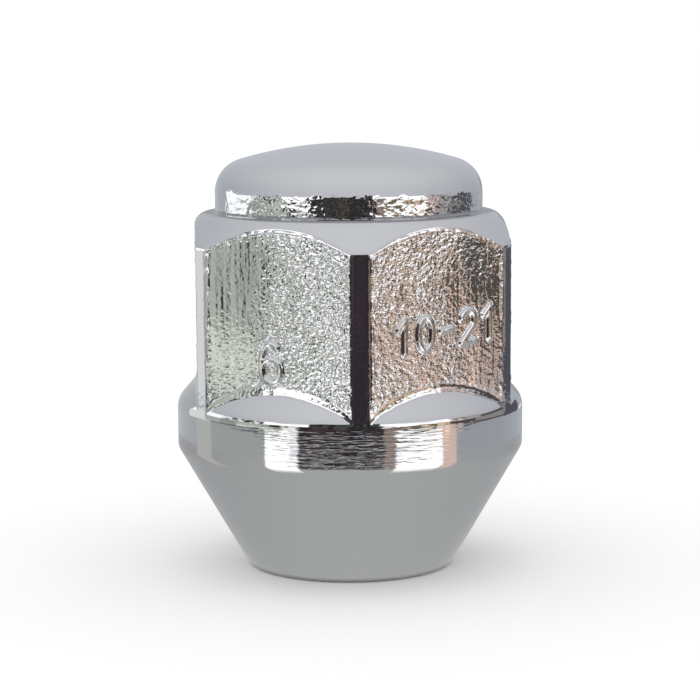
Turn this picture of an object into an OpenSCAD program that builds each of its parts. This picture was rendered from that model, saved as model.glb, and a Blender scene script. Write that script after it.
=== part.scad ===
// Closed-end lug nut with a bulge flange and a conical seat.
// It stands on its small end: the end face lies on z = 0, the axis is Z and the dome is on top.
// Two hex corners lie on the Y axis, so one pair of flats faces along X. Millimetres.

/* [Wrench hex] */
// Distance across the hex flats
hex_af = 21; // [19:0.5:24]
// Height of the hex, from the flange rim to the land around the dome
hex_h = 12.85; // [11:0.05:17]
// Metal that the rounding takes off each hex corner, along its radius
corner_relief = 0.32; // [0.1:0.02:0.7]
// Distance inside the flats at which the crowned top of the hex would meet the land
crown_inset = 0.44; // [0.3:0.01:0.9]
// Slope of the crowned top of the hex, in degrees from level
crown_slope = 48; // [30:1:55]
// Radius that blends the land into the crowned top
crown_edge_r = 1; // [0.4:0.1:1.4]

/* [Dome cap] */
// Diameter of the dome's short upright wall
dome_d = 18.3; // [15:0.1:19]
// Height of the dome above the land
dome_h = 4.6; // [4:0.05:7]
// Radius of the shallow crown
crown_r = 26.5; // [18:0.5:45]
// Radius of the dome's shoulder, between wall and crown
dome_edge_r = 2.3; // [1:0.1:2.8]
// Fillet at the foot of the dome
dome_root_r = 0.15; // [0.1:0.05:0.4]

/* [Flange] */
// Distance that the flange stands out past the hex corners
flange_lip = 0.1; // [0.05:0.05:1.5]
// Height of the upright band, from the seat to the rim
band_h = 3.2; // [1.8:0.05:4]
// Radius between the band and the seat
band_edge_r = 1; // [0.3:0.1:1.6]
// Slope of the shoulder between the rim and the flats, in degrees from level
shoulder_slope = 49; // [40:1:55]
// Radius of the rim at the top of the band
rim_r = 1.4; // [0.2:0.1:1.6]
// Concave fillet between the shoulder and the flats
shoulder_fillet_r = 1.2; // [0.5:0.1:2]

/* [Conical seat] */
// Included angle of the seat
seat_angle = 60; // [55:1:75]
// Metal left around the mouth of the hole at the small end
end_wall = 0.75; // [0.6:0.05:1.5]
// Radius between the seat and the end face
end_edge_r = 0.6; // [0.2:0.05:0.7]

/* [Stud thread] */
// Nominal thread diameter
thread_d = 12; // [10:0.5:13]
// Thread pitch
thread_pitch = 1.25; // [1:0.25:1.75]
// Width of the chamfer past the nominal thread, at the mouth
mouth_clear = 0.3; // [0.1:0.05:0.6]
// Metal between the tip of the drilled hole and the top of the dome
cap_wall = 4; // [3:0.1:6]
// Point angle of the drill that made the blind hole
drill_angle = 118; // [90:1:140]

/* [Hidden] */
$fn = 120;
// Chords in each rounded stretch of an outline
arc_steps = 12;
// Depth by which two sections of the one forging run into each other
overlap = 2;
// Amount by which the shoulder's fillet runs in behind the flats
fillet_bury = 0.15;
// Length by which a cutter passes the face that it opens
cut_past = 1;
// Height of an internal thread's profile for each millimetre of pitch
thread_depth_ratio = 1.0825;

flat_r = hex_af / 2;
hex_point_r = flat_r / cos(30);
corner_r = hex_point_r - corner_relief;
flange_r = corner_r + flange_lip;
dome_r = dome_d / 2;
minor_r = (thread_d - thread_depth_ratio * thread_pitch) / 2;
mouth_r = thread_d / 2 + mouth_clear;
end_r = mouth_r + end_wall;

seat_h = (flange_r - end_r) / tan(seat_angle / 2);
rim_z = seat_h + band_h;
land_z = rim_z + hex_h;
top_z = land_z + dome_h;

// Where the shoulder's slope would run in behind the flats
bury_r = flat_r - fillet_bury;
bury_z = rim_z + (flange_r - bury_r) * tan(shoulder_slope);
core_z = bury_z + overlap;

// Where the crowned top would meet the land, and where it meets the corners
crown_edge = flat_r - crown_inset;
crown_z = land_z - (corner_r - crown_edge) * tan(crown_slope);

// Centres of the dome's two arcs, and the direction in which they touch
crown_centre_z = top_z - crown_r;
edge_centre_r = dome_r - dome_edge_r;
edge_centre_z = crown_centre_z + sqrt(pow(crown_r - dome_edge_r, 2) - pow(edge_centre_r, 2));
touch_angle = atan2(edge_centre_z - crown_centre_z, edge_centre_r);

// The blind hole: threaded wall, then the drill's cone
tip_z = top_z - cap_wall;
wall_end_z = tip_z - minor_r / tan(drill_angle / 2);

// Points along an arc, without the first few if another arc has just ended there
function arc(centre, r, from, to, skip = 0) =
    [for (i = [skip : arc_steps])
        let (a = from + (to - from) * i / arc_steps)
        [centre[0] + r * cos(a), centre[1] + r * sin(a)]];

function unit(v) = v / norm(v);

// Points that round one corner of an outline, convex or concave, with radius r
function round_corner(before, corner, after, r) =
    let (
        u = unit(before - corner),
        v = unit(after - corner),
        half = acos(u * v) / 2,
        centre = corner + unit(u + v) * r / sin(half),
        start = corner + u * r / tan(half) - centre,
        end = corner + v * r / tan(half) - centre,
        from = atan2(start[1], start[0]),
        turn = atan2(start[0] * end[1] - start[1] * end[0], start * end)
    )
    arc(centre, r, from, from + turn);

// An outline from its corner points, each written [radius, height, rounding]
function rounded_outline(corners) =
    let (n = len(corners), p = [for (c = corners) [c[0], c[1]]])
    [for (i = [0 : n - 1])
        each corners[i][2] > 0
            ? round_corner(p[(i + n - 1) % n], p[i], p[(i + 1) % n], corners[i][2])
            : [p[i]]];

// The seat, the band and the shoulder, turned about the axis
module seat_and_flange() {
    rotate_extrude()
        polygon(rounded_outline([
            [0, 0, 0],
            [end_r, 0, end_edge_r],
            [flange_r, seat_h, band_edge_r],
            [flange_r, rim_z, rim_r],
            [bury_r, bury_z, shoulder_fillet_r],
            [bury_r, core_z, 0],
            [0, core_z, 0]
        ]));
}

// Six flats, with turned corners and a crowned top
module wrench_hex() {
    intersection() {
        translate([0, 0, rim_z - overlap / 2])
            rotate(90)
                cylinder(r = hex_point_r, h = hex_h + overlap, $fn = 6);
        rotate_extrude()
            polygon(rounded_outline([
                [0, seat_h, 0],
                [corner_r, seat_h, 0],
                [corner_r, crown_z, 0],
                [crown_edge, land_z, crown_edge_r],
                [0, land_z, 0]
            ]));
    }
}

// Upright wall, rounded shoulder and shallow crown, on a small fillet
module dome_cap() {
    foot_r = dome_r + dome_root_r;
    rotate_extrude()
        polygon(concat(
            [[0, land_z - overlap], [foot_r, land_z - overlap]],
            arc([foot_r, land_z + dome_root_r], dome_root_r, 270, 180),
            arc([edge_centre_r, edge_centre_z], dome_edge_r, 0, touch_angle),
            arc([0, crown_centre_z], crown_r, touch_angle, 90, skip = 1)
        ));
}

// Blind hole for the stud, at the thread's minor diameter, with a chamfered mouth
module stud_hole() {
    rotate_extrude()
        polygon([
            [0, -cut_past],
            [mouth_r + cut_past, -cut_past],
            [minor_r, mouth_r - minor_r],
            [minor_r, wall_end_z],
            [0, tip_z]
        ]);
}

module lug_nut() {
    color([0.78, 0.78, 0.79])
        difference() {
            union() {
                seat_and_flange();
                wrench_hex();
                dome_cap();
            }
            stud_hole();
        }
}

lug_nut();
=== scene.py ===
# %% [markdown]
# # A chromed lug nut
# The object is a closed-end lug nut: one forging with a shallow dome, a wrench hex, a flange and a conical
# seat, plated with bright chrome. The construction fixes its sizes, so this lesson only builds the skin
# that the eye sees, its plating, and the small studio that a mirror-like part needs to look like metal.

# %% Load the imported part
import math

import bpy
import numpy as np
from mathutils import Euler, Matrix, Vector, noise


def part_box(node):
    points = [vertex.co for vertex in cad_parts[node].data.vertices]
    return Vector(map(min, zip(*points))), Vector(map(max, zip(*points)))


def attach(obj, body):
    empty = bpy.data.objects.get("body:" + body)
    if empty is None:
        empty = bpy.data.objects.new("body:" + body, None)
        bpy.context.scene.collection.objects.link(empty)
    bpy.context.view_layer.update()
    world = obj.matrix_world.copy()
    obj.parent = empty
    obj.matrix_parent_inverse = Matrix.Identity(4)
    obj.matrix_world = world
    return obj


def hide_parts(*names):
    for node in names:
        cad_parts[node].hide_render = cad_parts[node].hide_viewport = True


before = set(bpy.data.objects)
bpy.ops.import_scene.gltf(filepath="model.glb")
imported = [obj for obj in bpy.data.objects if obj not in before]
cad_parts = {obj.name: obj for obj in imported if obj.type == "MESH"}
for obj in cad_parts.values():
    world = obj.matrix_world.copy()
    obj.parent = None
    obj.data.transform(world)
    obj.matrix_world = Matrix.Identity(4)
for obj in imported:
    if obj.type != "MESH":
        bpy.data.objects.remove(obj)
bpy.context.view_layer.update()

MM = 0.001

# %% [markdown]
# ## Sizes
# A script that repeats a part's surface needs the part's own sizes. The outer radius and the height are
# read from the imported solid, so they can't drift. The rest are the few driving sizes that a nut maker
# would write on the drawing, in millimetres, and everything below is worked out from them.

# %% Sizes of the nut
nut_low, nut_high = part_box("lug_nut")
flange_r = min(-nut_low.x, -nut_low.y, nut_high.x, nut_high.y) / MM
top_z = nut_high.z / MM

hex_across_flats = 21.0
flange_lip = 0.1
dome_d = 18.3
dome_h = 4.6
crown_r = 26.5
dome_edge_r = 2.3
crown_inset = 0.44
crown_slope = 48.0
crown_edge_r = 1.0
band_h = 3.2
band_edge_r = 1.0
rim_r = 1.4
shoulder_slope = 49.0
shoulder_fillet_r = 1.2
fillet_bury = 0.15
seat_angle = 60.0
end_edge_r = 0.6
end_wall = 0.75
thread_d = 12.0
thread_pitch = 1.25
mouth_clear = 0.3
cap_wall = 4.0
drill_angle = 118.0

flat_r = hex_across_flats / 2
corner_r = flange_r - flange_lip
dome_r = dome_d / 2
land_z = top_z - dome_h
mouth_r = thread_d / 2 + mouth_clear
end_r = mouth_r + end_wall
seat_h = (flange_r - end_r) / math.tan(math.radians(seat_angle / 2))
rim_z = seat_h + band_h
print(f"flange radius {flange_r:.3f}, height {top_z:.3f}, land at {land_z:.3f}, rim at {rim_z:.3f} mm")

# %% [markdown]
# ## Camera
# The photograph looks almost level at one hex corner, from about 15 cm away with a long lens. Matching a
# camera by eye is slow, so its distance, height and turn were worked out from the places of the rim,
# the land and the hex corners. Only the result is kept here, as real distances and angles.

# %% Camera
camera_turn = -3.57
camera_reach = 0.1535
camera_height = 0.03525
camera_pitch = 7.593
camera_roll = -0.346
lens_focal = 115.235
lens_shift_x = 0.0005

camera = bpy.data.objects.new("camera", bpy.data.cameras.new("camera"))
camera.data.lens = lens_focal
camera.data.sensor_width = 36.0
camera.data.shift_x = lens_shift_x
camera.data.clip_start = 0.005
camera_bearing = math.radians(camera_turn)
camera.location = (
    camera_reach * math.sin(camera_bearing),
    -camera_reach * math.cos(camera_bearing),
    camera_height,
)
aim = Euler((math.radians(90 - camera_pitch), 0, camera_bearing)).to_matrix()
camera.rotation_euler = (aim @ Matrix.Rotation(math.radians(camera_roll), 3, "Z")).to_euler()
bpy.context.collection.objects.link(camera)
bpy.context.scene.camera = camera
print("camera at", [round(c, 4) for c in camera.location])

# %% [markdown]
# ## Outlines
# Turned parts are drawn as half an outline and spun about the axis. Blender could do that with a Screw
# modifier, but a nut is only partly round, so the outline is kept as plain points that later cells can
# pull in to the flats. An arc and a rounded corner are the only two helpers that it needs.

# %% Outline helpers
def arc(centre, radius, start, end, steps):
    """Points along an arc in the (radius, height) plane, angles in degrees."""
    turn = np.radians(np.linspace(start, end, steps + 1))
    return np.column_stack((centre[0] + radius * np.cos(turn), centre[1] + radius * np.sin(turn)))


def rounded(before, corner, after, radius, steps):
    """Points that round one corner of an outline."""
    before, corner, after = (np.array(p, float) for p in (before, corner, after))
    u = (before - corner) / np.linalg.norm(before - corner)
    v = (after - corner) / np.linalg.norm(after - corner)
    half = math.acos(u @ v) / 2
    centre = corner + (u + v) / np.linalg.norm(u + v) * radius / math.sin(half)
    start = corner + u * radius / math.tan(half) - centre
    end = corner + v * radius / math.tan(half) - centre
    first = math.atan2(start[1], start[0])
    turn = math.atan2(start[0] * end[1] - start[1] * end[0], start @ end)
    return arc(centre, radius, math.degrees(first), math.degrees(first + turn), steps)


def straight(start, end, steps):
    """Points along a straight stretch, without its first."""
    share = np.linspace(0, 1, steps + 1)[1:, None]
    return np.array(start) * (1 - share) + np.array(end) * share


def smooth(share):
    """A share that starts and ends gently, held between 0 and 1."""
    share = np.clip(share, 0, 1)
    return share * share * (3 - 2 * share)


def soft_max(a, b, width):
    """The larger of two values, blended where they are close."""
    close = np.clip(1 - np.abs(a - b) / width, 0, 1)
    return np.maximum(a, b) + close * close * width / 4


def soft_min(a, b, width):
    """The smaller of two values, blended where they are close."""
    return -soft_max(-a, -b, width)


print("points in a corner rounded in 4 steps:", len(rounded((0, 1), (0, 0), (1, 0), 0.2, 4)))

# %% [markdown]
# ## Rings
# The skin is a stack of closed rings, from the top of the dome, down the outside, under the end and up
# the threaded hole. Each ring may have its own number of points, because forged flats need a fine net
# and the hole doesn't. Every point also carries how forged, dragged, pebbled or turned its surface is,
# and how much painted shade darkens it in the crease, which the plating reads later to treat each zone in
# its own way.

# %% Ring stack
SURFACE_ZONES = ("forged", "dragged", "pebbled", "turned", "creased")
ring_stack = []


def even_turn(columns):
    """Evenly spaced angles around the axis, from the corner that faces the camera."""
    return np.arange(columns) * (2 * math.pi / columns)


def lay_rings(turn, radius, height, **shares):
    """Adds one ring for each row of radius and height, with the share of each surface zone."""
    named = {"turn": turn, "radius": radius, "height": height}
    named |= {zone: shares.get(zone, 0.0) for zone in SURFACE_ZONES}
    spread = dict(zip(named, np.broadcast_arrays(*named.values())))
    for row in range(len(spread["radius"])):
        ring_stack.append({name: values[row] for name, values in spread.items()})


def as_rows(points):
    """An outline's radius and height as two columns, ready to spread around the axis."""
    return points[:, :1], points[:, 1:]


def lumps(around, height, size_around, size_height, seed):
    """Smooth random unevenness from -1 to 1, with its own size each way."""
    flat_around, flat_height = np.broadcast_arrays(around / size_around, height / size_height)
    found = [noise.noise(Vector((a, h, seed))) for a, h in zip(flat_around.ravel(), flat_height.ravel())]
    return np.array(found).reshape(flat_around.shape)


print("surface zones:", ", ".join(SURFACE_ZONES))

# %% [markdown]
# ## Dome
# The dome is pressed: a shallow crown, a rounded shoulder and a short wall that still shows the pebbled
# skin of the blank, with a ragged upper border. The two arcs touch, so their centres follow from the
# radii. The wall's pebbles are real bumps, less than two hundredths of a millimetre deep, because chrome
# shows even that. The wall meets the land in a crease, so its last ring is remembered and marked sharp.

# %% Dome rings
edge_centre_r = dome_r - dome_edge_r
crown_centre_z = top_z - crown_r
edge_centre_z = crown_centre_z + math.sqrt((crown_r - dome_edge_r) ** 2 - edge_centre_r**2)
touch_angle = math.degrees(math.atan2(edge_centre_z - crown_centre_z, edge_centre_r))

crown_line = arc((0, crown_centre_z), crown_r, 90, touch_angle, 16)[1:]
lay_rings(even_turn(120), *as_rows(crown_line))

pebble_angle = 18.0
edge_centre = (edge_centre_r, edge_centre_z)
edge_line = arc(edge_centre, dome_edge_r, touch_angle, pebble_angle, 12)[1:]
lay_rings(even_turn(240), *as_rows(edge_line))

wall_turn = even_turn(400)
wall_top = arc(edge_centre, dome_edge_r, pebble_angle, 0, 5)[1:]
wall_r, wall_z = as_rows(np.concatenate((wall_top, straight((dome_r, edge_centre_z), (dome_r, land_z), 8))))
wall_pebble_depth = 0.016
border_rag = 0.3
border_fade = 0.25
foot_fade = 0.05
wall_border = border_rag * lumps(wall_turn * dome_r, wall_z, 1.1, 0.9, 9.4)
wall_share = np.clip((wall_top[1, 1] + wall_border - wall_z) / border_fade, 0, 1)
wall_share = wall_share * np.clip((wall_z - land_z) / foot_fade, 0, 1)
wall_pebbles = lumps(wall_turn * dome_r, wall_z, 0.8, 0.6, 3.7)
lay_rings(wall_turn, wall_r + wall_pebble_depth * wall_share * wall_pebbles, wall_z, pebbled=wall_share)

dome_foot = len(ring_stack) - 1
print("dome rings:", len(ring_stack))

# %% [markdown]
# ## Wrench hex
# The hex is forged: six flats, six turned corners, and a crowned top whose cone cuts each flat in an arch.
# A boolean would give the same arches with a messy net. Here every column of points knows where its own
# arch and its own foot lie, so the rows follow the edges exactly and the edges stay crisp. The two flats
# that carry numbers get more columns than the others.

# %% Columns around the hex
RIGHT_FLAT, LEFT_FLAT = 0, 5
numbered_columns = 150
plain_columns = 60
corner_columns = 4
strip_angle = math.degrees(math.acos(flat_r / corner_r))
flat_half = flat_r * math.tan(math.radians(strip_angle))
left_strip = np.linspace(-30, -strip_angle, corner_columns + 1)[:-1]
right_strip = np.linspace(strip_angle, 30, corner_columns + 1)[1:-1]
sectors = []
for number in range(6):
    columns = numbered_columns if number in (RIGHT_FLAT, LEFT_FLAT) else plain_columns
    flat_beta = np.degrees(np.arctan2(np.linspace(-flat_half, flat_half, columns + 1), flat_r))
    sectors.append(np.concatenate((left_strip, flat_beta, right_strip)))
beta = np.radians(np.concatenate(sectors))
face_number = np.repeat(np.arange(6), [len(sector) for sector in sectors])
hex_turn = beta + math.radians(30) + face_number * math.radians(60)
across = flat_r * np.tan(beta)
edge_softness = 0.03
edge_fade_angle = 0.6
bare_hex_r = soft_min(flat_r / np.cos(beta), corner_r, edge_softness)
on_flat = np.clip((math.radians(strip_angle) - np.abs(beta)) / math.radians(edge_fade_angle), 0, 1)
strip_width = 2 * corner_r * math.radians(30 - strip_angle)
print("hex columns:", len(hex_turn), "corner strip, mm:", round(strip_width, 3))

# %% [markdown]
# ## Arches
# A die doesn't close perfectly. Metal that is squeezed past its edge leaves a low lip under each arch and
# a little flash where the flat runs down to the shoulder. Modelling them as separate beads would need
# many small pieces, so the lip and the flash simply shift the arch and the foot of each column, and the
# relief of the flats grows out to meet them.

# %% Arches at the top and the foot of each flat
crown_edge = flat_r - crown_inset
slope_fall = math.tan(math.radians(crown_slope))
crown_z = land_z - (corner_r - crown_edge) * slope_fall
land_line = rounded((dome_r, land_z), (crown_edge, land_z), (corner_r, crown_z), crown_edge_r, 6)
slope_start_z = land_line[-1, 1]
lip_height = 0.10
arch_z = land_z - (bare_hex_r + lip_height * on_flat - crown_edge) * slope_fall

bury_r = flat_r - fillet_bury
bury_z = rim_z + (flange_r - bury_r) * math.tan(math.radians(shoulder_slope))
fillet_line = rounded((bury_r, land_z), (bury_r, bury_z), (flange_r, rim_z), shoulder_fillet_r, 24)
rim_line = rounded((bury_r, bury_z), (flange_r, rim_z), (flange_r, seat_h), rim_r, 24)
shoulder_line = np.concatenate((fillet_line, rim_line))
rim_foot_z = rim_line[-1, 1]
left_flash = 0.18
other_flash = 0.14
flash_rag = 0.03
flat_seed = 7.3
flash = np.where(face_number == LEFT_FLAT, left_flash, other_flash)
flash = flash + flash_rag * lumps(across, flat_seed * face_number, 0.5, 1.0, 3.3)
flash = flash * on_flat * (1 - (across / flat_half) ** 6)
foot_arch_z = np.interp(bare_hex_r + flash, shoulder_line[:, 0], shoulder_line[:, 1])


def shoulder_r(height):
    """Radius of the flange's shoulder at a height, fading inwards above its fillet."""
    above = np.maximum(height - shoulder_line[0, 1], 0)
    return np.interp(height, shoulder_line[::-1, 1], shoulder_line[::-1, 0]) - above


def slope_r(height):
    """Radius of the crowned top at a height."""
    return crown_edge + (land_z - height) / slope_fall


print("arch from", round(arch_z.min(), 2), "to", round(arch_z.max(), 2), "mm")

# %% [markdown]
# ## Raised numbers
# Forged nuts carry small raised numbers, cut into the die. A text object would bring a font and a heavy
# mesh, so each figure is a few strokes on a unit square. Every point of a flat asks how far the nearest
# stroke is: close to it the metal rises, and just around it the skin is calm, which keeps the outline
# clear. The numbers are plain ones: a strength class, a wrench size and the number of the die's cavity.

# %% Strokes of the figures
def bow(centre, reach_x, reach_y, start, end, steps=14):
    """A stroke along an ellipse, angles in degrees."""
    turn = np.radians(np.linspace(start, end, steps + 1))
    return [(centre[0] + reach_x * math.cos(t), centre[1] + reach_y * math.sin(t)) for t in turn]


FIGURES = {
    "0": [bow((0.5, 0.5), 0.40, 0.5, 0, 360, 24)],
    "1": [[(0.22, 0.76), (0.55, 1.0), (0.55, 0.0)]],
    "2": [bow((0.5, 0.69), 0.38, 0.31, 165, -35) + [(0.12, 0.0), (0.92, 0.0)]],
    "6": [bow((0.5, 0.5), 0.42, 0.5, 50, 180, 10) + bow((0.5, 0.30), 0.42, 0.30, 180, 540, 20)],
    "-": [[(0.2, 0.5), (0.8, 0.5)]],
}
stroke_half_width = 0.09
stroke_edge = 0.17
figure_width = 0.66
figure_margin = 0.1
far_away = 9.0
MARKS = {
    RIGHT_FLAT: {"text": "10-21", "middle": (0.6, 17.2), "height": 2.1, "pitch": 1.7, "lean": 0.08},
    LEFT_FLAT: {"text": "6", "middle": (-0.5, 15.2), "height": 2.5, "pitch": 2.0},
}


def stroke_distance(u, z, text, middle, height, pitch, lean=0.0):
    """Distance in mm from points of a flat to the strokes of a row of figures, which may lean."""
    nearest = np.full(np.broadcast_shapes(u.shape, z.shape), far_away)
    z = z - lean * (u - middle[0])
    left = middle[0] - pitch * len(text) / 2
    for order, figure in enumerate(text):
        for stroke in FIGURES[figure]:
            dots = np.array(stroke) * (figure_width * height, height)
            dots = dots + (left + pitch * order + figure_margin * pitch, middle[1] - height / 2)
            for start, end in zip(dots, dots[1:]):
                run = end - start
                along = ((u - start[0]) * run[0] + (z - start[1]) * run[1]) / (run @ run)
                along = np.clip(along, 0, 1)
                away = np.hypot(u - start[0] - along * run[0], z - start[1] - along * run[1])
                nearest = np.minimum(nearest, away)
    return nearest


def figures(u, z, number):
    """Distance from the strokes of the numbers on a flat."""
    if number in MARKS:
        return stroke_distance(u, z, **MARKS[number])
    return np.full(z.shape, far_away)


print("figures:", " ".join(FIGURES))

# %% [markdown]
# ## Forged flats
# A forging die leaves its own skin: broad waves, pebbles, and long upright drag lines where the metal slid
# along the die. Chrome copies all of it. The coarse part is real relief here, in hundredths of a
# millimetre, and the plating adds the finest grain as bump. Along the arches and the foot the skin is
# calmer and leans outwards, so these edges catch their own light. A worn die presses a smoother skin, so
# the two numbered flats have lost part of their finest grain.

# %% Relief of the flats
drag_start = 0.6
drag_rag = 1.8
drag_fade = 1.6


def drag_share(u, z, number):
    """Where the metal slid along the die: towards one side of each flat, with a ragged border."""
    side = 1 if number % 2 == 0 else -1
    border = drag_rag * lumps(u, z, 2.2, 5.0, 8.1 + flat_seed * number)
    return np.clip((side * u - drag_start + border) / drag_fade, 0, 1)


wave_depth = 0.03
wave_size = (2.4, 3.2)
pebble_depth = 0.013
pebble_size = (0.42, 0.36)
slid_share = 0.6
drag_depth = 0.012
drag_size = (0.36, 6.0)
bead_height = 0.06
bead_width = 0.13
bead_mean = 0.3
bead_swing = 1.2
bead_u = flat_half - 0.2


def forged_skin(u, z, number):
    """How far the forged skin stands out of the true flat, in mm."""
    seed = flat_seed * number
    slid = drag_share(u, z, number)
    wave = lumps(u, z, *wave_size, 1.1 + seed)
    pebble = lumps(u, z, *pebble_size, 2.3 + seed)
    drag = lumps(u, z, *drag_size, 5.9 + seed)
    bead = np.exp(-(((np.abs(u) - bead_u) / bead_width) ** 2))
    bead = bead * (bead_mean + bead_swing * lumps(u, z, 0.5, 0.4, 4.4 + seed))
    skin = wave_depth * wave + pebble_depth * pebble * (1 - slid_share * slid) + drag_depth * drag * slid
    return skin + bead_height * bead


print("depth of waves, pebbles and drag lines, mm:", wave_depth, pebble_depth, drag_depth)

# %% Polish and edges of the flats
left_polish = 0.25
slide_polish = 0.38
right_polish = 0.34


def polish_share(number, dragged):
    """How much of the finest grain the die has worn off, more of it where the metal slid on the left."""
    if number == LEFT_FLAT:
        return left_polish + slide_polish * dragged
    return right_polish if number == RIGHT_FLAT else 0.0


edge_rag = 0.16
lip_width = 0.4
swell_reach = 3.0
swell_share = 0.2
apron_slope = 0.21
apron_share = 0.8
calm_width = 0.75
calm_most = 0.88
calm_fade = 0.12
arch_calm_cut = 0.4


def edge_lips(u, z, arch, foot, flash, number):
    """Lip under each arch and flash above the shoulder, in mm, and how calm the skin is beside them."""
    rag = edge_rag * lumps(u, z, 0.25, 0.25, 6.2 + flat_seed * number)
    below_arch = (arch - z) / np.hypot(1, np.gradient(arch, u))
    above_foot = (z - foot) / np.hypot(1, np.gradient(foot, u))
    lip = np.clip(1 - (below_arch + rag) / lip_width, 0, 1) ** 2
    swell = smooth(1 - above_foot / swell_reach)
    apron = np.clip(apron_share * flash - apron_slope * above_foot, 0, None)
    from_edge = np.minimum(below_arch + arch_calm_cut, above_foot)
    calm = calm_most * smooth((calm_width - from_edge - rag) / calm_fade)
    return lip_height * lip + swell_share * flash * swell + apron, calm


print("reach of the apron above the foot, mm:", round(apron_share * left_flash / apron_slope, 2))

# %% Land and crowned top rings
crease_softness = 0.06
fillet_softness = 0.1


def hex_r(height, relief):
    """Radius of the hex at a height: flats and corners, under the crowned top, above the shoulder."""
    faces = bare_hex_r + relief
    crowned = soft_min(faces, slope_r(height), crease_softness)
    return np.minimum(soft_max(crowned, shoulder_r(height), fillet_softness), flange_r)


def row_shares(rows):
    """Shares of the way down, one for each row, without the first."""
    return np.linspace(0, 1, rows + 1)[1:, None]


# These numbers shape a share that darkens the chrome in the crease where the land meets the dome wall:
# painted shade.
crease_shade_start = 1.1
crease_shade_fall = 0.3
crease_shade_mean = 0.8
crease_shade_swing = 0.5
crease_shade_least = 0.3
crease = np.clip(crease_shade_start - crease_shade_fall * np.arange(len(land_line)), 0, 1)[:, None]
crease_shade_lumps = lumps(hex_turn * dome_r, 0.0, 2.5, 1.0, 5.1)
crease = crease * np.clip(crease_shade_mean + crease_shade_swing * crease_shade_lumps, crease_shade_least, 1)
lay_rings(hex_turn, *as_rows(land_line), creased=crease)

slope_rows = 10
slope_z = slope_start_z + (arch_z - slope_start_z) * row_shares(slope_rows)
lay_rings(hex_turn, hex_r(slope_z, 0.0), slope_z)
print("rings down to the arches:", len(ring_stack))

# %% Flat rings
face_rows = 88
number_height = 0.16
stroke_calm = 0.9
stroke_margin = 0.12
strip_share = 0.12
edge_tolerance = 1e-6
down = row_shares(face_rows)
face_z = arch_z + (foot_arch_z - arch_z) * down
ends_share = np.clip(np.minimum(down, 1 - down) * face_rows / 2, 0, 1)
flat_share = on_flat * ends_share
relief = np.zeros(face_z.shape)
dragged = np.zeros(face_z.shape)
for number in range(6):
    own = (face_number == number) & (np.abs(beta) <= math.radians(strip_angle) + edge_tolerance)
    u, z = across[own], face_z[:, own]
    lips, calm = edge_lips(u, z, arch_z[own], foot_arch_z[own], flash[own], number)
    stroke = stroke_half_width + stroke_edge - figures(u, z, number)
    raised = smooth(stroke / stroke_edge)
    beside = stroke_calm * smooth((stroke + stroke_margin) / stroke_margin)
    flat_share[:, own] *= 1 - np.maximum(calm, beside)
    rough = forged_skin(u, z, number) * flat_share[:, own]
    relief[:, own] = rough + number_height * raised + lips * on_flat[own]
    dragged[:, own] = drag_share(u, z, number)
    flat_share[:, own] *= 1 - polish_share(number, dragged[:, own])
forged_share = np.maximum(flat_share, strip_share * ends_share)
lay_rings(hex_turn, hex_r(face_z, relief), face_z, forged=forged_share, dragged=dragged)
print("relief of the flats, mm:", round(relief.min(), 3), "to", round(relief.max(), 3))

# %% Shoulder rings
shoulder_rows = 13
chuck_jaws = 3
chatter_mean = 0.5
chatter_swing = 0.7
chatter_least = 0.1
rim_marks_start = 0.75
rim_marks_fade = 0.15


def chatter(turn):
    """How strong the tool marks are round the axis, between the jaws that held the nut."""
    return np.clip(chatter_mean + chatter_swing * np.cos(chuck_jaws * turn), chatter_least, 1)


shoulder_z = foot_arch_z + (rim_foot_z - foot_arch_z) * row_shares(shoulder_rows)
rim_marks = np.clip((row_shares(shoulder_rows) - rim_marks_start) / rim_marks_fade, 0, 1)
lay_rings(hex_turn, hex_r(shoulder_z, 0.0), shoulder_z, turned=rim_marks * chatter(hex_turn))
print("rings down to the rim:", len(ring_stack))

# %% [markdown]
# ## Flange and conical seat
# Below the rim the nut is turned all round: an upright band with fine tool marks, a rounded edge, and the
# cone that seats in the wheel. The tool chatters most between the three jaws of the chuck, so the marks
# come and go round the axis. These rings are plain circles, so they need far fewer points.

# %% Flange and conical seat rings
band_turn = even_turn(360)
band_edge_rows = 10
band_edge_marks = 0.9
band_edge = rounded((flange_r, rim_z), (flange_r, seat_h), (end_r, 0), band_edge_r, band_edge_rows)
band_marks = chatter(band_turn)
lay_rings(band_turn, *as_rows(straight((flange_r, rim_foot_z), band_edge[0], 3)), turned=band_marks)
fading_marks = band_marks * np.linspace(band_edge_marks, 0, band_edge_rows)[:, None]
lay_rings(band_turn, *as_rows(band_edge[1:]), turned=fading_marks)

cone_turn = even_turn(200)
end_edge = rounded((flange_r, seat_h), (end_r, 0), (mouth_r, 0), end_edge_r, 8)
lay_rings(cone_turn, *as_rows(straight(band_edge[-1], end_edge[0], 12)))
lay_rings(cone_turn, *as_rows(end_edge[1:]))
print("rings down to the end face:", len(ring_stack))

# %% [markdown]
# ## Stud hole and thread
# The hole is drilled blind and tapped. A thread could be a swept coil cut out with a boolean, but a ring
# stack can carry it directly: each point's radius depends on its height and on its angle, so the groove
# climbs as it goes round. It fades out before the drill's cone, as a tap leaves it.

# %% Stud hole rings
groove_ratio = 0.54
groove_mean = 0.62
groove_swing = 0.75
minor_ratio = 0.54125
thread_depth = groove_ratio * thread_pitch
minor_r = thread_d / 2 - minor_ratio * thread_pitch
tip_z = top_z - cap_wall
wall_end_z = tip_z - minor_r / math.tan(math.radians(drill_angle / 2))
thread_start_z = 0.1
thread_end_z = 18.5
run_out = 1.5 * thread_pitch
tip_ring = (0.4, tip_z - 0.24)
hole_turn = even_turn(72)
rows_per_pitch = 7

lay_rings(cone_turn, *as_rows(straight(end_edge[-1], (mouth_r, 0), 2)))

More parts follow.
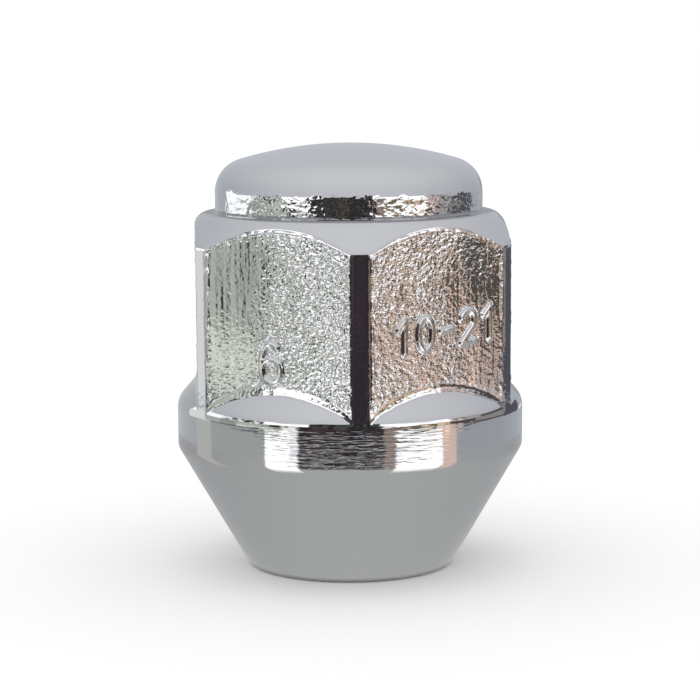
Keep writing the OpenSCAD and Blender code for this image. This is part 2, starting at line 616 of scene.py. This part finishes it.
thread_z = np.arange(thread_start_z, wall_end_z, thread_pitch / rows_per_pitch)[:, None]
groove_phase = thread_z / thread_pitch - hole_turn / (2 * math.pi)
groove = np.clip(groove_mean - groove_swing * np.cos(2 * math.pi * groove_phase), 0, 1)
groove_share = np.clip((thread_end_z - thread_z) / run_out, 0, 1)
mouth_cone = mouth_r - thread_z
hole_r = np.maximum(minor_r + thread_depth * groove * groove_share, mouth_cone)
lay_rings(hole_turn, hole_r, thread_z)
lay_rings(hole_turn, *as_rows(straight((minor_r, wall_end_z), tip_ring, 4)))
print("rings in all:", len(ring_stack))

# %% [markdown]
# ## Skin
# The rings are now stitched into one closed mesh. Where two rings have equally many points, quads join
# them. Where they don't, a zip of triangles does: it walks round both and always takes the nearer next
# point. The two open ends are closed by a fan to a single point.

# %% Stitch the rings
def place(ring):
    """The ring's points in metres. Angle 0 faces -Y and grows towards +X."""
    x = ring["radius"] * np.sin(ring["turn"])
    y = -ring["radius"] * np.cos(ring["turn"])
    return np.column_stack((x, y, ring["height"])) * MM


def stitch(upper, lower, upper_first, lower_first):
    """Faces between two neighbouring rings, seen from outside."""
    n, m = len(upper["turn"]), len(lower["turn"])
    if n == m:
        here = np.arange(n)
        after = (here + 1) % n
        corners = (upper_first + here, lower_first + here, lower_first + after, upper_first + after)
        return np.column_stack(corners).tolist()
    upper_turn = np.append(upper["turn"], upper["turn"][0] + 2 * math.pi)
    lower_turn = np.append(lower["turn"], lower["turn"][0] + 2 * math.pi)
    faces = []
    i = j = 0
    while i < n or j < m:
        top = upper_first + i % n
        bottom = lower_first + j % m
        if j == m or (i < n and upper_turn[i + 1] <= lower_turn[j + 1]):
            i += 1
            faces.append((top, bottom, upper_first + i % n))
        else:
            j += 1
            faces.append((top, bottom, lower_first + j % m))
    return faces


print("rings to stitch:", len(ring_stack))

# %% Skin mesh
points = [np.array([[0, 0, top_z * MM]])]
faces = []
firsts = []
count = 1
for ring in ring_stack:
    firsts.append(count)
    points.append(place(ring))
    count += len(ring["turn"])
tip = count
points.append(np.array([[0, 0, tip_z * MM]]))

first_ring, last_ring = len(ring_stack[0]["turn"]), len(ring_stack[-1]["turn"])
faces += [(0, firsts[0] + k, firsts[0] + (k + 1) % first_ring) for k in range(first_ring)]
for k in range(len(ring_stack) - 1):
    faces += stitch(ring_stack[k], ring_stack[k + 1], firsts[k], firsts[k + 1])
faces += [(firsts[-1] + k, tip, firsts[-1] + (k + 1) % last_ring) for k in range(last_ring)]

skin = bpy.data.meshes.new("lug_nut_body")
skin.from_pydata(np.concatenate(points).tolist(), [], faces)
for zone in SURFACE_ZONES:
    share = np.concatenate([[0.0]] + [ring[zone] for ring in ring_stack] + [[0.0]])
    skin.attributes.new(zone, "FLOAT", "POINT").data.foreach_set("value", share.astype(np.float32))
skin.polygons.foreach_set("use_smooth", [True] * len(skin.polygons))
skin.validate()
skin.update()
foot_ring = range(firsts[dome_foot], firsts[dome_foot + 1])
for edge in skin.edges:
    edge.use_edge_sharp = all(point in foot_ring for point in edge.vertices)

lug_nut = bpy.data.objects.new("lug_nut_body", skin)
bpy.context.collection.objects.link(lug_nut)
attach(lug_nut, "root")
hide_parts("lug_nut")
skin.calc_loop_triangles()
print("triangles:", len(skin.loop_triangles))

# %% [markdown]
# ## Chrome plating
# Decorative chrome is a thin mirror over bright nickel: grey with a breath of blue, and only as smooth as
# the metal under it. One material covers the whole nut, as one bath did. The zone marks on the points
# choose how strong each grain is, and a Bump node turns that height into shading. In the crease at the
# dome's foot the colour is darkened almost to black: painted shade.

# %% Material and node helpers
chrome = bpy.data.materials.new("chrome_plate")
chrome.use_nodes = True
nodes = chrome.node_tree.nodes
links = chrome.node_tree.links
metal = nodes["Principled BSDF"]
metal.inputs["Metallic"].default_value = 1.0


def zone_mark(name):
    """Output that gives a zone's share at each point."""
    mark = nodes.new("ShaderNodeAttribute")
    mark.attribute_name = name
    return mark.outputs["Fac"]


def grain(scale, stretch=(1, 1, 1), detail=2.0):
    """Noise whose scale is in lumps per millimetre."""
    where = nodes.new("ShaderNodeTexCoord")
    mapping = nodes.new("ShaderNodeMapping")
    mapping.inputs["Scale"].default_value = tuple(s * scale / MM for s in stretch)
    lump = nodes.new("ShaderNodeTexNoise")
    lump.inputs["Scale"].default_value = 1.0
    lump.inputs["Detail"].default_value = detail
    links.new(where.outputs["Object"], mapping.inputs["Vector"])
    links.new(mapping.outputs["Vector"], lump.inputs["Vector"])
    return lump.outputs["Fac"]


def reckon(operation, a, b, c=None):
    """A Math node on sockets or plain numbers."""
    node = nodes.new("ShaderNodeMath")
    node.operation = operation
    for socket, value in zip(node.inputs, (a, b, c)):
        if isinstance(value, bpy.types.NodeSocket):
            links.new(value, socket)
        elif value is not None:
            socket.default_value = value
    return node.outputs["Value"]


print("material:", chrome.name)

# %% Grain of each zone
forged = zone_mark("forged")
dragged = zone_mark("dragged")
pebbled = zone_mark("pebbled")
turned = zone_mark("turned")

pebble_depth_mm = 0.115
drag_depth_mm = 0.055
wall_depth_mm = 0.045
band_depth_mm = 0.026
fine_depth_mm = 0.003
patch_swing = 1.8
patch_least = 0.1

patchy = reckon("MULTIPLY_ADD", grain(0.45), patch_swing, patch_least)
not_slid = reckon("MULTIPLY_ADD", dragged, -slid_share, 1.0)
pebble_share = reckon("MULTIPLY", reckon("MULTIPLY", forged, patchy), not_slid)
pebble_part = reckon("MULTIPLY", pebble_share, pebble_depth_mm)
flat_grain = reckon("MULTIPLY", grain(3.3, (1, 1, 1.15), 1.2), pebble_part)
drag_part = reckon("MULTIPLY", reckon("MULTIPLY", forged, dragged), drag_depth_mm)
flat_drag = reckon("MULTIPLY", grain(2.8, (1, 1, 0.09), 1.0), drag_part)
wall_grain = reckon("MULTIPLY", grain(2.2, (1, 1, 1.3), 1.5), reckon("MULTIPLY", pebbled, wall_depth_mm))
band_lines = reckon("MULTIPLY", grain(5.5, (0.09, 0.09, 1)), reckon("MULTIPLY", turned, band_depth_mm))
fine_skin = reckon("MULTIPLY", grain(1.2), fine_depth_mm)
height = reckon("ADD", reckon("ADD", flat_grain, flat_drag), reckon("ADD", wall_grain, band_lines))
height = reckon("ADD", height, fine_skin)

bump = nodes.new("ShaderNodeBump")
bump.inputs["Distance"].default_value = MM
bump.inputs["Strength"].default_value = 1.0
links.new(height, bump.inputs["Height"])
links.new(bump.outputs["Normal"], metal.inputs["Normal"])
print("deepest grain, mm:", pebble_depth_mm)

# %% Polish and colour of the plating
plate_roughness = 0.06
forged_roughness = 0.02
CHROME = (0.53, 0.535, 0.55, 1)
# Painted shade: the dark colour laid into the crease at the dome's foot.
CREASE_SHADE = (0.10, 0.10, 0.08, 1)
roughness = reckon("MULTIPLY_ADD", forged, forged_roughness, plate_roughness)
links.new(roughness, metal.inputs["Roughness"])

# The crease shade share mixes the chrome towards that dark colour, as painted shade.
crease_shade_mix = nodes.new("ShaderNodeMix")
crease_shade_mix.data_type = "RGBA"
crease_shade_mix.inputs["A"].default_value = CHROME
crease_shade_mix.inputs["B"].default_value = CREASE_SHADE
links.new(zone_mark("creased"), crease_shade_mix.inputs["Factor"])
links.new(crease_shade_mix.outputs["Result"], metal.inputs["Base Color"])
skin.materials.append(chrome)
print("chrome nodes:", len(nodes))

# %% [markdown]
# ## Floor and light
# A mirror has no look of its own: it shows the room. The room here is a plain white studio, with a pale
# floor that keeps the nut's shadow, even white light from all round, and one large soft lamp above.

# %% Floor, world and lamp
floor_mesh = bpy.data.meshes.new("floor")
floor_reach = 30.0
floor_mesh.from_pydata(
    [(-floor_reach, -floor_reach, 0), (floor_reach, -floor_reach, 0),
     (floor_reach, floor_reach, 0), (-floor_reach, floor_reach, 0)],
    [],
    [(0, 1, 2, 3)],
)
floor = bpy.data.objects.new("floor", floor_mesh)
bpy.context.collection.objects.link(floor)

paper = bpy.data.materials.new("floor_paper")
paper.use_nodes = True
paper_shader = paper.node_tree.nodes["Principled BSDF"]
paper_shader.inputs["Base Color"].default_value = (1, 1, 1, 1)
paper_shader.inputs["Roughness"].default_value = 0.9
paper_shader.inputs["Specular IOR Level"].default_value = 0.0
floor_mesh.materials.append(paper)

world = bpy.data.worlds.new("white_room")
world.use_nodes = True
world.node_tree.nodes["Background"].inputs["Color"].default_value = (1, 1, 1, 1)
world.node_tree.nodes["Background"].inputs["Strength"].default_value = 1.0
bpy.context.scene.world = world

lamp_size = 0.6
lamp_radiance = 0.12
lamp_height = 0.45
lamp = bpy.data.objects.new("overhead_softbox", bpy.data.lights.new("overhead_softbox", "AREA"))
lamp.data.size = lamp_size
lamp.data.energy = lamp_radiance * math.pi * lamp_size**2
lamp.location = (0, 0, lamp_height)
lamp.visible_glossy = False
bpy.context.collection.objects.link(lamp)
print("lamp power, W:", round(lamp.data.energy, 3))

# %% [markdown]
# ## Reflection cards
# A chrome part lit only by white looks like grey paint, so photographers stand black and white cards round
# it. Here every such thing is a sheet spun round the axis that glows by itself, so what the chrome shows of
# it is painted reflection. The sheets show in reflections only: they don't block any view, and they throw
# neither light nor shadow. A glow may be plain, may fade along a direction, or may be patchy.

# %% Ways in which a glow changes
def away_from(axis, far):
    """Lays out a share that grows from 0 along an axis to 1 far from it."""
    def lay(tree):
        place_node = tree.nodes.new("ShaderNodeNewGeometry")
        unit = tree.nodes.new("ShaderNodeVectorMath")
        unit.operation = "NORMALIZE"
        facing = tree.nodes.new("ShaderNodeVectorMath")
        facing.operation = "DOT_PRODUCT"
        facing.inputs[1].default_value = Vector(axis).normalized()
        tree.links.new(place_node.outputs["Position"], unit.inputs[0])
        tree.links.new(unit.outputs["Vector"], facing.inputs[0])
        return facing.outputs["Value"], 1.0, far

    return lay


def towards_nut(far, near):
    """Lays out a share that grows from 0 at the distance far from the axis to 1 at near, in mm."""
    def lay(tree):
        place_node = tree.nodes.new("ShaderNodeNewGeometry")
        reach = tree.nodes.new("ShaderNodeVectorMath")
        reach.operation = "LENGTH"
        tree.links.new(place_node.outputs["Position"], reach.inputs[0])
        return reach.outputs["Value"], far * MM, near * MM

    return lay


def patchy_glow(size, low, high):
    """Lays out a patchy share for a glow, with upright patches of about size, in mm."""
    def lay(tree):
        place_node = tree.nodes.new("ShaderNodeNewGeometry")
        upright = tree.nodes.new("ShaderNodeVectorMath")
        upright.operation = "MULTIPLY"
        upright.inputs[1].default_value = (1, 1, 0.4)
        patches = tree.nodes.new("ShaderNodeTexNoise")
        patches.inputs["Scale"].default_value = 1 / (size * MM)
        patches.inputs["Detail"].default_value = 1.0
        tree.links.new(place_node.outputs["Position"], upright.inputs[0])
        tree.links.new(upright.outputs["Vector"], patches.inputs["Vector"])
        return patches.outputs["Fac"], low, high

    return lay


print("a glow fades along an axis, fades towards the nut, or is crumpled")

# %% Things that only reflections see
card_reach = 58.0
canopy_reach = 130.0


def glow(name, colour, other=None, lay=None):
    """A plain glow, or one that turns into another colour by a share that lay gives."""
    material = bpy.data.materials.new(name)
    material.use_nodes = True
    tree = material.node_tree
    tree.nodes.remove(tree.nodes["Principled BSDF"])
    emit = tree.nodes.new("ShaderNodeEmission")
    emit.inputs["Color"].default_value = (*colour, 1)
    tree.links.new(emit.outputs["Emission"], tree.nodes["Material Output"].inputs["Surface"])
    if other:
        value, none_at, all_at = lay(tree)
        share = tree.nodes.new("ShaderNodeMapRange")
        share.inputs["From Min"].default_value = none_at
        share.inputs["From Max"].default_value = all_at
        blend = tree.nodes.new("ShaderNodeMix")
        blend.data_type = "RGBA"
        blend.inputs["A"].default_value = (*colour, 1)
        blend.inputs["B"].default_value = (*other, 1)
        tree.links.new(value, share.inputs["Value"])
        tree.links.new(share.outputs["Result"], blend.inputs["Factor"])
        tree.links.new(blend.outputs["Result"], emit.inputs["Color"])
    return material


def reflection_only(name, start, end, outline, material, steps=12, spread=None):
    """A sheet spun from an outline, for reflections only. Angles count from the camera's bearing."""
    n = len(outline)
    turns = [(angle, *corner) for angle in np.linspace(start, end, steps + 1) for corner in outline]
    corners = []
    for angle, r, z in turns:
        bearing = math.radians(angle * (spread(r) if spread else 1) + camera_turn)
        corners.append((r * math.sin(bearing) * MM, -r * math.cos(bearing) * MM, z * MM))
    sheets = [
        (k * n + j, k * n + j + 1, (k + 1) * n + j + 1, (k + 1) * n + j)
        for k in range(steps)
        for j in range(n - 1)
    ]
    mesh = bpy.data.meshes.new(name)
    mesh.from_pydata(corners, [], sheets)
    mesh.materials.append(material)
    sheet = bpy.data.objects.new(name, mesh)
    bpy.context.collection.objects.link(sheet)
    sheet.visible_camera = False
    sheet.visible_diffuse = False
    sheet.visible_shadow = False
    sheet.visible_transmission = False
    sheet.visible_volume_scatter = False
    return sheet


print("cards stand", card_reach, "mm from the axis")

# %% [markdown]
# ## Canopy and floor glow
# Two large glowing sheets paint the nut's quiet grey reflections. The canopy is a glowing dome whose
# brightest part is overhead, and the dome, the arches' slopes and the shoulder mirror it. The floor glow is
# a grey glowing ring that lies under the nut, and the cone mirrors that instead of the white floor.

# %% Canopy and floor glow
# Painted reflection: a glowing dome seen only in reflections, brightest overhead and greyer towards its
# edge.
CANOPY_GLOW_TOP = (1.04, 1.04, 1.06)
CANOPY_GLOW_EDGE = (0.56, 0.59, 0.645)
canopy_glow_axis = (0, -0.35, 0.94)
canopy_line = arc((0, 0), canopy_reach, 0, 89, 10)
canopy_glow = glow("canopy", CANOPY_GLOW_TOP, CANOPY_GLOW_EDGE, away_from(canopy_glow_axis, -0.1))
reflection_only("canopy", -180, 180, canopy_line, canopy_glow, 48)

# Painted reflection: a grey glowing ring under the nut, darker behind, which the cone mirrors instead of the
# white floor.
floor_glow_lift = 0.02
floor_glow_hole_r = 7.3
FLOOR_GLOW = (0.66, 0.67, 0.645)
FLOOR_GLOW_BEHIND = (0.50, 0.51, 0.52)
floor_glow_material = glow("floor_glow", FLOOR_GLOW, FLOOR_GLOW_BEHIND, away_from((0, -1, 0), -0.6))
reflection_only("floor_glow", -180, 180, [(floor_glow_hole_r, floor_glow_lift), (card_reach, floor_glow_lift)], floor_glow_material, 48)
print("canopy at", canopy_reach, "mm, mat to", card_reach, "mm")

# %% [markdown]
# ## Cards
# The flats, the corners and the band face sideways, so they mirror the glowing cards that stand round the
# nut.
# A flat with rough grain mirrors a wide patch of them, and a patchy glow paints bright and dark specks into
# it.
# The band's rounded lower edge looks down at the floor, so some glowing cards carry on along the floor
# towards the nut, as painted reflections. Angles are counted from the camera's bearing, to the right.

# %% Card helpers
# Thresholds of the patchy glow, which paints bright and dark specks into the reflections of the flats.
patchy_glow_low = 0.49
patchy_glow_high = 0.6
bend_lift = 0.05
floor_fade = 9.0


def card(name, start, end, low, high, colour, other=None, patch=6.5):
    """A glowing card that stands from low to high, seen only as a painted reflection. With another colour
    its glow is patchy.
    """
    material = glow(name, colour, other, patchy_glow(patch, patchy_glow_low, patchy_glow_high))
    reflection_only(name, start, end, [(card_reach, low), (card_reach, high)], material)


def band_ray(r):
    """How far a ray that the band throws has turned at a distance r, as a share of its turn at the cards."""
    return (2 - flange_r / r) / (2 - flange_r / card_reach)


def floor_card(name, start, end, colour, near=17.0, far=card_reach):
    """A glowing card that lies on the floor, along the rays that the band throws, a painted reflection that
    fades into the floor glow near the nut.
    """
    material = glow(name, colour, FLOOR_GLOW, towards_nut(near + floor_fade, near))
    outline = [(r, bend_lift) for r in np.linspace(near, far, 7)]
    reflection_only(name, start, end, outline, material, 12, band_ray)


print("turn of the band's rays at the rim, as a share:", round(band_ray(flange_r), 3))

# %% Cards on the floor
# Glow colours of painted reflections; WHITE glows twice as bright as white, for painted highlights.
WHITE = (2.0, 2.0, 2.0)
BLACK = (0.06, 0.045, 0.055)
BROWN = (0.40, 0.30, 0.25)
SALMON = (1.12, 0.84, 0.73)
SIDE_GREY = (0.72, 0.73, 0.69)
# Glowing cards on the floor, seen only as painted reflections in the band's lower edge.
floor_card("floor_black_front", -31, 20, BLACK, 28.0, 44.0)
floor_card("floor_brown_right", 20, 27, BROWN, 28.0, 44.0)
floor_card("floor_white_left", -52, -31, WHITE)
floor_card("floor_white_right", 27, 57, WHITE)
floor_card("floor_salmon_right", 57, 67, SALMON)
floor_card("floor_side_left", -112, -95, SIDE_GREY)
print("floor cards fade out over", floor_fade, "mm")

# %% Standing cards
low_top = 4.5
mid_cards_top = 22.0
front_wall_top = 25.0
card_top = 31.0
white_top = 34.0
front_top = 37.0
# Glow colours of painted reflections: dark lines, grey edges, and a dark wall with glints.
DARK_LINE_GLOW = (0.13, 0.13, 0.15)
EDGE_GREY = (0.62, 0.64, 0.66)
WALL_DARK = (0.03, 0.03, 0.03)
WALL_GLINT = (0.11, 0.11, 0.095)

# Glowing cards seen only in reflections: painted reflections, dark ones and bright ones.
card("card_black_front", -31, 20, 0, 19, (0.05, 0.04, 0.05), (0.10, 0.07, 0.07))
card("card_wall_front", -31, 20, 19, front_wall_top, WALL_DARK, WALL_GLINT, 4.0)
card("card_high_front", -25, 18, front_wall_top, front_top, WALL_DARK, WALL_GLINT, 4.0)
card("card_brown_right", 20, 27, 0, front_wall_top, BROWN)

card("card_white_left", -52, -36, 0, low_top, WHITE)
card("card_line_left", -95, -36, low_top, 6.5, DARK_LINE_GLOW)
card("card_low_patchy_left", -72, -31, 6.5, 10.5, (1.15, 1.19, 1.04), (1.9, 1.95, 1.75))
card("card_patchy_left", -49, -31, 10.5, mid_cards_top, (0.05, 0.06, 0.04), (1.4, 1.44, 1.26))
card("card_mid_left", -54, -49, 10.5, mid_cards_top, (0.54, 0.565, 0.50), (1.25, 1.29, 1.14))
card("card_fair_left", -72, -54, 10.5, mid_cards_top, (0.74, 0.77, 0.68), (1.10, 1.14, 1.02))
card("card_high_left", -54, -31, mid_cards_top, white_top, WHITE)
card("card_peak_left", -31, -25, front_wall_top, white_top, WHITE)
card("card_grey_left", -95, -52, 0, low_top, (0.58, 0.60, 0.58))
card("card_upper_left", -86, -72, 6.5, mid_cards_top, (0.50, 0.52, 0.47))
card("card_wall_left", -86, -54, mid_cards_top, card_top, (0.06, 0.065, 0.055), (1.4, 1.43, 1.35), 4.0)

card("card_white_right", 27, 57, 0, low_top, WHITE)
card("card_line_right", 27, 52, low_top, 7, DARK_LINE_GLOW)
card("card_pale_right", 27, 52, 7, mid_cards_top, (0.26, 0.20, 0.14), (1.08, 0.87, 0.62))
card("card_high_right", 27, 64, mid_cards_top, white_top, WHITE)
card("card_peak_right", 18, 27, front_wall_top, white_top, WHITE)
card("card_salmon_right", 57, 67, 0, low_top, SALMON)
card("card_pink_right", 52, 66, low_top, 11, (0.95, 0.68, 0.56), (1.95, 1.40, 1.14))
card("card_patchy_right", 52, 66, 11, mid_cards_top, (0.18, 0.135, 0.09), (1.15, 0.90, 0.65))
card("card_high_salmon", 64, 76, mid_cards_top, card_top, (0.40, 0.33, 0.31), (1.35, 1.0, 0.88))

card("card_grey_right", 67, 112, 0, 5, (0.54, 0.56, 0.60))
card("card_warm_right", 66, 80, 5, 11, (0.20, 0.15, 0.13), (1.1, 0.82, 0.70))
card("card_dark_right", 66, 82, 11, 20, (0.12, 0.115, 0.115))
card("card_line_far_right", 80, 112, 5, 9, DARK_LINE_GLOW)
card("card_dim_right", 82, 112, 9, 20, (0.42, 0.39, 0.37))
card("card_high_dim_right", 76, 88, 20, card_top, (0.60, 0.57, 0.55))
card("card_ink_right", 88, 120, 20, 26, DARK_LINE_GLOW)
card("card_far_right", 112, 150, 0, 3.5, (0.55, 0.58, 0.64))
card("card_dark_far_right", 112, 138, 3.5, 19, DARK_LINE_GLOW)

card("card_bright_left", -120, -86, 20, card_top, (1.8, 1.8, 1.8))
card("card_strip_left", -122, -100, 4, 20, (1.15, 1.15, 1.15))
card("card_side_left", -112, -95, 0, 4, SIDE_GREY)
card("card_edge_left", -122, -112, 0, 4, EDGE_GREY)
card("card_low_left", -100, -86, 6.5, 20, (0.66, 0.68, 0.65))
card("card_far_left", -160, -122, 0, card_top, EDGE_GREY)
card("card_back", 150, 200, 0, card_top, (0.42, 0.43, 0.46))
print("highest card, mm:", front_top)

# %% [markdown]
# ## Finish
# The picture is kept plain: colours go straight to the screen, with no film look.

# %% View settings
bpy.context.scene.view_settings.view_transform = "Standard"
